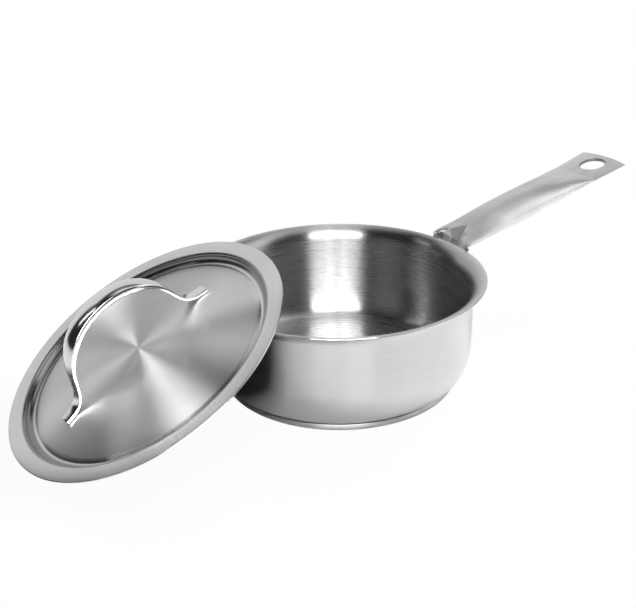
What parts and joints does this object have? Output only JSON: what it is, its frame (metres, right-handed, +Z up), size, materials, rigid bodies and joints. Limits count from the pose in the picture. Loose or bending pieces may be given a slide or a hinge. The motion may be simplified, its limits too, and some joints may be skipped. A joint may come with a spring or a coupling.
{
  "type": "saute pan with lid",
  "caption": "Small stainless saute pan with a flared rim, a clad base and a hollow tubular handle; its stepped lid with a strap handle leans on the rim.",
  "frame": {"origin": "on the pan's axis, on the plane the base rests on", "axes": "+Z up along the pan's axis, +X along the long handle, away from the pan"},
  "size_m": [0.4343, 0.1949, 0.098],
  "materials": {
    "body_steel": "drawn stainless, satin outside, brushed round inside",
    "core_aluminium": "turned edge, matte",
    "base_steel": "stainless, turned satin",
    "handle_steel": "stainless tube, soft polish",
    "weld_steel": "spot weld, dull",
    "lid_steel": "stainless, spun satin",
    "strap_steel": "stainless, mirror polished"
  },
  "bodies": {
    "pan": {"pan_body": "body_steel", "base_core": "core_aluminium", "base_cap": "base_steel", "long_handle": "handle_steel", "handle_spot_welds": "weld_steel"},
    "lid": {"lid_shell": "lid_steel", "lid_handle": "strap_steel", "lid_spot_welds": "weld_steel"}
  },
  "joints": [
    {"name": "lid_lift", "type": "slide", "parent": "pan", "child": "lid", "axis": [0, 0, 1], "range_m": [0, 0.12]}
  ]
}
